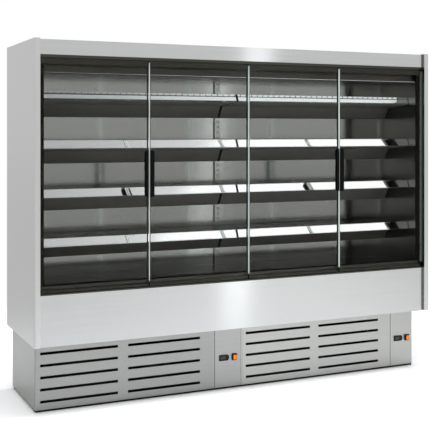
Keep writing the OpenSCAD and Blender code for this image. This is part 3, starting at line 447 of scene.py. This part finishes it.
# Ceiling
# Behind the header hang a dark canopy strip, a lamp in an aluminium channel with an opal cover, and the
# translucent honeycomb of the air curtain, dark at its rim and above it given a painted glow that follows
# the lamp beside it. A folded satin steel duct carries the cold air forward.
canopy_back = -0.2
ceiling_steel = brushed("satin_steel_ceiling", "#72726f", "#7c7c79", 0.22, 0.3, (1.5, 40.0, 40.0))
dress(["ceiling_duct"], ceiling_steel, bronze, choose=lambda centre, normal: centre[Y] < canopy_back)

# The lamp is dim at the fridge's left end and brightens evenly from lamp_dim to lamp_full along X.
lamp_glow = 0.8
lamp_dim, lamp_full = -1.1, 0.35
lamp_white = {"Emission Color": linear("#f3f6f6")}


def lamp_level(tree, place):
    """Strength of the lamp along X: a quarter of its glow at the left end, all of it right of the middle."""
    along = add(tree, "SeparateXYZ", links={"Vector": place}).outputs["X"]
    rise = {"From Min": lamp_dim, "From Max": lamp_full, "To Min": 0.25 * lamp_glow, "To Max": lamp_glow}
    return add(tree, "MapRange", rise, {"Value": along}, interpolation_type="SMOOTHSTEP").outputs["Result"]


comb_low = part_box("air_outlet")[0]
rim_end = {"From Min": comb_low.z + 0.003, "From Max": comb_low.z + 0.006}
# Painted light: the cells glow above their dark rim, as strongly as the lamp beside them along X.
painted_glow_comb = surface("honeycomb_painted_glow", "#c9cac8", 0.0, 0.5, lamp_white)
tree, shader, place = parts(painted_glow_comb)
height = add(tree, "SeparateXYZ", links={"Vector": place}).outputs["Z"]
inner = add(tree, "MapRange", rim_end, {"Value": height}).outputs["Result"]
tone = add(tree, "Mix", {6: linear("#232321"), 7: linear("#c9cac8")}, {0: inner}, data_type="RGBA")
glow = add(tree, "Math", links={0: inner, 1: lamp_level(tree, place)}, operation="MULTIPLY")
connect(tree, shader, {"Base Color": tone.outputs[2], "Emission Strength": glow.outputs["Value"]})
dress(["air_outlet"], painted_glow_comb)

lamp_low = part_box("led_light")[0]
cover_front, cover_back = lamp_low.y + 0.001, lamp_low.y + 0.025
cover_top = lamp_low.z + 0.0025
channel = brushed("anodised_lamp_channel", "#8d8f8f", "#9da09f", 0.3, 0.4, (2.0, 300.0, 300.0))
opal = toned(surface("opal_acrylic", "#e6e9e7", 0.0, 0.35, lamp_white), 25.0, "#dfe3e0", "#eef1ef")
tree, shader, place = parts(opal)
connect(tree, shader, {"Emission Strength": lamp_level(tree, place)})


def lamp_faces(centre, normal):
    """1 for the lower and upper faces of the opal cover between the channel's walls, 0 for the channel."""
    flat = (centre[Z] < cover_top) & (np.abs(normal[Z]) > square_on)
    return flat & (centre[Y] < cover_back) & (centre[Y] > cover_front)


dress(["led_light"], channel, opal, choose=lamp_faces)

# Back panels and uprights
# Bright annealed stainless sheet, almost a mirror, with faint upright lines, hangs in front of the air duct
# and has its slots behind each shelf. The slotted uprights of the same steel carry the brackets; theirs is
# drawn a little darker than the back's, a painted shade.
mirror_steel = brushed("bright_annealed_back", "#abadaa", "#b4b6b3", 0.1, 0.15, (60.0, 60.0, 0.8), 0.02)
dress(["back_panels"], mirror_steel)
# The uprights' darker tone is painted shade.
shaded_upright_steel = brushed("bright_annealed_upright_shaded", "#a2a4a1", "#abadaa", 0.14, 0.2, (60.0, 60.0, 0.8), 0.02)
dress(["shelf_uprights"], shaded_upright_steel)

# Shelves, brackets and price rails
# A shelf is one satin steel sheet folded from its rear flange over the top and back under to the heel; its
# under side is lacquered grey. Its price rail is polished aluminium, leaning back, so that it mirrors what is
# above and before the fridge. Over the joint of the two bays the rails and undersides are painted black, and
# the shelves' ends and the brackets are black too: painted shade of the gaps.
# A band of painted shade, 13 mm wide, over the joint between the two bays
joint_shade_middle, joint_shade_half_width = -0.0055, 0.0065
downward = -0.05


def shaded_at_joint(material):
    """Paints a black shade over the joint between the two bays, and turns a metal to non-metal there."""
    tree, shader, place = parts(material)
    along = add(tree, "SeparateXYZ", links={"Vector": place}).outputs["X"]
    joint_shade = add(tree, "Math", {1: joint_shade_middle, 2: joint_shade_half_width}, {0: along}, operation="COMPARE")
    plain = shader.inputs["Base Color"].links[0].from_socket
    tone = add(tree, "Mix", {7: linear("#0c0c0c")}, {0: joint_shade.outputs["Value"], 6: plain}, data_type="RGBA")
    connect(tree, shader, {"Base Color": tone.outputs[2]})
    if shader.inputs["Metallic"].default_value:
        metal = add(tree, "Math", {0: 1.0}, {1: joint_shade.outputs["Value"]}, operation="SUBTRACT")
        connect(tree, shader, {"Metallic": metal.outputs["Value"]})
    return material


shelf_steel = brushed("dark_satin_shelf", "#6c6c68", "#757570", 0.2, 0.28, (1.2, 50.0, 50.0))
parts(shelf_steel)[1].inputs["Specular Tint"].default_value = linear("#a0a09d")
lacquer = shaded_at_joint(toned(surface("grey_shelf_lacquer", "#8b8a85", 0.0, 0.35), 18.0, "#7e7d78", "#8d8c87"))
rail_polish = shaded_at_joint(brushed("polished_aluminium_rail", "#e2e5e5", "#eef0f0", 0.03, 0.07,
                             (1.0, 90.0, 90.0), 0.01))


def shelf_faces(centre, normal):
    """0 for the steel, 1 for the lacquered faces, which look down, and 2 for the ends, black as painted
    shade.
    """
    return np.where(np.abs(normal[X]) > square_on, 2, normal[Z] < downward)


dress(["shelf_1", "shelf_2", "shelf_3", "shelf_4"], shelf_steel, lacquer, moulded_black, choose=shelf_faces)
# The brackets are black, painted shade of the gaps they stand in.
dress(["shelf_brackets"], shade_black)
dress(["price_rails"], rail_polish)

# Decks and return grille
# The lowest shelves are flat decks over the coils, folded from the shelves' satin steel; air goes back down
# through a slotted grille before them, anodised dark bronze as the rails are.
dress(["deck_trays"], shelf_steel)
dress(["return_grille"], bronze)

# Evaporators, condensers and pipes
# Blocks of pressed aluminium fins on copper tubes, whose ends stand out of the block on both sides. The
# evaporators' fins are bright and their tubes brown from brazing; the condensers are black whole, a painted
# shade that darkens the base behind the slots, and dusty. The pipes wear a black foam sleeve, except for
# their lowest stretch.
block_half_length = 0.5256
bay_middle = half_inside / 2
panel_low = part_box("rear_service_panel")[0]
sleeve_foot = panel_low.z + 0.11
fins = brushed("aluminium_fins", "#aab0b3", "#c3c8ca", 0.32, 0.45, (20.0, 300.0, 20.0))
tarnished = toned(surface("tarnished_copper", "#b56a3c", 1.0, 0.32), 45.0, "#8c4a28", "#cf8552", detail=4.0)
shade_black_fins = toned(surface("black_fins_painted_shade", "#141414", 0.0, 0.45, {"Specular IOR Level": 0.3}),
               30.0, "#101010", "#1d1c1a", detail=4.0)
sleeve = grained(surface("black_foam_sleeve", "#0c0c0c", 0.0, 0.9, {"Specular IOR Level": 0.1}),
                 per_metre=800.0, strength=0.3, depth=0.0004)


def evaporator_faces(centre, normal):
    """1 for the tube ends, over half a block's length from the middle of their bay, and 0 for the fins."""
    return np.abs(np.abs(centre[X]) - bay_middle) > block_half_length


dress(["evaporators"], fins, tarnished, choose=evaporator_faces)
# The condensers' black is painted shade.
dress(["condensers"], shade_black_fins)
dress(["refrigerant_pipes"], tarnished, sleeve, choose=lambda centre, normal: centre[Z] > sleeve_foot)

# Filters behind the rear vents
# Pleated black polyester in a loose frame, one behind each field of vents: air comes into the base, but no
# light does. The folds are 12 mm apart and 8 mm deep, stand 0.5 mm clear of the panel, and are matt as felt.
fold_count, fold_pitch, fold_depth, cloth = 28, 0.012, 0.008, 0.0015
filter_back = panel_low.y - 0.0005
filter_foot, filter_top = panel_low.z + 0.1, panel_low.z + 0.275


def pleated(middle):
    """Corners and faces of one upright cloth whose folds run along X round middle.

    Its rear lies at filter_back - fold_depth * (1 - cos(2 pi x / fold_pitch)) / 2, with 8 steps to a fold.
    The cloth's section, four corners seen along X, is carried along that line."""
    width = fold_count * fold_pitch
    x = np.linspace(0.0, width, fold_count * 8 + 1)[:, None]
    rear = filter_back - fold_depth * (1 - np.cos(2 * np.pi * x / fold_pitch)) / 2
    section = np.array([(0.0, filter_foot), (0.0, filter_top), (cloth, filter_top), (cloth, filter_foot)])
    inset, height = section.T
    corners = np.stack(np.broadcast_arrays(x + (middle - width / 2), rear - inset, height), axis=-1)
    here = np.arange(4 * (len(x) - 1)).reshape(-1, 4)
    beside = np.roll(here, -1, axis=1)
    sides = np.stack((here, beside, beside + 4, here + 4), axis=-1)
    last = 4 * (len(x) - 1)
    ends = ((0, 3, 2, 1), (last, last + 1, last + 2, last + 3))
    return corners.reshape(-1, 3), np.vstack((sides.reshape(-1, 4), ends))


corners, faces = [], []
for number, field in enumerate((-1.5, -0.5, 0.5, 1.5)):
    cloth_corners, cloth_faces = pleated(field * bay_middle)
    corners.extend(cloth_corners.tolist())
    faces.extend((cloth_faces + number * len(cloth_corners)).tolist())
filter_mesh = bpy.data.meshes.new("vent_filters")
filter_mesh.from_pydata(corners, [], faces)
filters = bpy.data.objects.new("vent_filters", filter_mesh)
bpy.context.scene.collection.objects.link(filters)
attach(filters, "cabinet")
filter_cloth = grained(surface("black_filter_cloth", "#0b0b0b", 0.0, 0.95, {"Specular IOR Level": 0.05}),
                       per_metre=1500.0, strength=0.4, depth=0.0003)
filter_mesh.materials.append(filter_cloth)

# Fans, motors and compressors
# Each fan is moulded in one of black polypropylene, with flow marks in its sheen, and pressed on the shaft of
# a motor in an enamelled can, whose three arms are screwed to the plate round the fan's mouth. The
# compressors' shells have the same stove enamel, glossy with an orange peel.
blade = patchy(surface("black_polypropylene_fan", "#1d1d1e", 0.0, 0.4),
               per_metre=60.0, smooth=0.32, rough=0.5, detail=3.0)
dress(["evaporator_fan_left", "evaporator_fan_right", "condenser_fan_left", "condenser_fan_right"], blade)
enamel = grained(surface("black_stove_enamel", "#151516", 0.0, 0.3, {"Coat Weight": 0.3}),
                 per_metre=220.0, strength=0.12, depth=0.0006)
dress(["fan_motors", "compressors"], enamel)

# Studio floor
# Not part of the fridge: white paper. Seen by the camera or through the glass it keeps the fridge's shadow
# and turns pure white with distance. Metal mirrors it brighter before the fridge's right half than elsewhere.
half_side = 40.0
paper_white = (1.25, 1.25, 1.25, 1.0)
pool_middle = (1.6, -3.0, 0.0)
pool_edge = {"From Min": 0.0, "From Max": 2.3, "To Min": 1.4, "To Max": 0.69}
pool_outskirts = {"From Min": 4.0, "From Max": 7.0, "To Min": 1.0, "To Max": 0.84}
shadow_end = {"From Min": 2.0, "From Max": 3.4}
floor_mesh = bpy.data.meshes.new("studio_floor")
floor_corners = [(-half_side, -half_side, 0), (half_side, -half_side, 0),
                 (half_side, half_side, 0), (-half_side, half_side, 0)]
floor_mesh.from_pydata(floor_corners, [], [(0, 1, 2, 3)])
floor = bpy.data.objects.new("studio_floor", floor_mesh)
bpy.context.scene.collection.objects.link(floor)
floor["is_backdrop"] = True


def direct_view(tree):
    """1 for rays from the camera and rays that have come through the glass, and 0 for all others."""
    ray = add(tree, "LightPath").outputs
    seen = add(tree, "Math", links={0: ray["Is Camera Ray"], 1: ray["Is Transmission Ray"]},
               operation="MAXIMUM")
    return seen.outputs["Value"]


paper = surface("white_paper_floor", "#e2e2e2", 0.0, 0.9, {"Specular IOR Level": 0.0})
tree, shader, place = parts(paper)
direct = direct_view(tree)
bright = add(tree, "BsdfDiffuse", {"Color": paper_white})
close = add(tree, "MixShader", links={0: direct, 1: shader.outputs["BSDF"], 2: bright.outputs["BSDF"]})
pool = add(tree, "VectorMath", {1: pool_middle}, {0: place}, operation="DISTANCE").outputs["Value"]
pool_level = add(tree, "MapRange", pool_edge, {"Value": pool}, interpolation_type="SMOOTHSTEP")
fall = add(tree, "MapRange", pool_outskirts, {"Value": pool})
mirrored = add(tree, "Math", links={0: pool_level.outputs["Result"], 1: fall.outputs["Result"]},
               operation="MULTIPLY")
far_level = add(tree, "Mix", {3: 1.0}, {0: direct, 2: mirrored.outputs["Value"]})
far = add(tree, "Emission", {"Color": (1.0, 1.0, 1.0, 1.0)}, {"Strength": far_level.outputs[0]})
radius = add(tree, "VectorMath", links={0: place}, operation="LENGTH")
fade = add(tree, "MapRange", shadow_end, {"Value": radius.outputs["Value"]},
           interpolation_type="SMOOTHSTEP")
ground = add(tree, "MixShader", links={0: fade.outputs["Result"], 1: close.outputs["Shader"],
                                       2: far.outputs["Emission"]})
connect(tree, tree.nodes["Material Output"], {"Surface": ground.outputs["Shader"]})
floor_mesh.materials.append(paper)

# Studio room
# Not part of the fridge: white all round for the camera and the glass. Metal mirrors walls a little darker to
# the back and a bright card overhead, which brightens softly at its slanting left edge and then in one sharp
# step. All other rays meet an even grey.
dim_room = 0.4
walls = {"From Min": -1.0, "From Max": 1.0, "To Min": 0.72, "To Max": 0.65}
card_slant = (1.0, 0.0, -1.11)
card_edge = {"From Min": -0.62, "From Max": -0.41, "To Max": 0.5}
card_step = {"From Min": -0.465, "From Max": -0.445, "To Max": 0.55}
card_foot = {"From Min": 0.48, "From Max": 0.58}
world = bpy.data.worlds.new("white_studio")
bpy.context.scene.world = world
world.use_nodes = True
tree = world.node_tree
tree.nodes.clear()
direction = add(tree, "TexCoord").outputs["Generated"]
axes = add(tree, "SeparateXYZ", links={"Vector": direction})
wall = add(tree, "MapRange", walls, {"Value": axes.outputs["Y"]})
slant = add(tree, "VectorMath", {1: card_slant}, {0: direction},
            operation="DOT_PRODUCT").outputs["Value"]
soft = add(tree, "MapRange", card_edge, {"Value": slant})
sharp = add(tree, "MapRange", card_step, {"Value": slant})
overhead = add(tree, "MapRange", card_foot, {"Value": axes.outputs["Z"]}, interpolation_type="SMOOTHSTEP")
both = add(tree, "Math", links={0: soft.outputs["Result"], 1: sharp.outputs["Result"]}, operation="ADD")
card = add(tree, "Math", links={0: both.outputs["Value"], 1: overhead.outputs["Result"]},
           operation="MULTIPLY")
room = add(tree, "Math", links={0: wall.outputs["Result"], 1: card.outputs["Value"]}, operation="ADD")
glossy_ray = add(tree, "LightPath").outputs["Is Glossy Ray"]
lit = add(tree, "Mix", {2: dim_room}, {0: glossy_ray, 3: room.outputs["Value"]})
level = add(tree, "Mix", {3: 1.0}, {0: direct_view(tree), 2: lit.outputs[0]})
background = add(tree, "Background", {"Color": (1.0, 1.0, 1.0, 1.0)}, {"Strength": level.outputs[0]})
add(tree, "OutputWorld", links={"Surface": background.outputs["Background"]})


# Lamps
# Not part of the fridge: three soft boxes, a little cool. Only the narrow upright one in front shows in
# metal, as the bright line down the fascias and the back; the other two light the fridge and cast its shadow.
def lamp(name, place, aim, width, height, power, lean=0.0, mirrored=False):
    """A soft lamp of width by height metres at place, facing aim, leaning sideways by lean degrees."""
    data = bpy.data.lights.new(name, "AREA")
    data.shape = "RECTANGLE"
    data.size, data.size_y, data.energy, data.color = width, height, power, (0.95, 0.98, 1.0)
    box = bpy.data.objects.new(name, data)
    box.location = place
    box.visible_glossy = mirrored
    box.visible_camera = False
    box.visible_transmission = False
    away = np.array(place) - np.array(aim)
    tilt = math.acos(away[2] / np.linalg.norm(away))
    facing = Euler((tilt, 0, math.atan2(away[0], -away[1]))).to_matrix()
    box.rotation_euler = (facing @ Matrix.Rotation(math.radians(lean), 3, "Z")).to_euler()
    bpy.context.scene.collection.objects.link(box)


lamp("softbox_front", (0.9, -2.1, 1.4), (0.0, -0.3, 1.4), 0.22, 3.0, 1.45, lean=-6.0, mirrored=True)
lamp("softbox_left", (-3.2, -3.6, 4.2), (0.0, 0.0, 0.8), 3.0, 3.0, 62.0)
lamp("softbox_top", (0.3, -0.4, 5.0), (0.3, -0.4, 0.0), 4.4, 2.4, 300.0)

# Bounds of the dressed model, the floor left out
low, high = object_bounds()
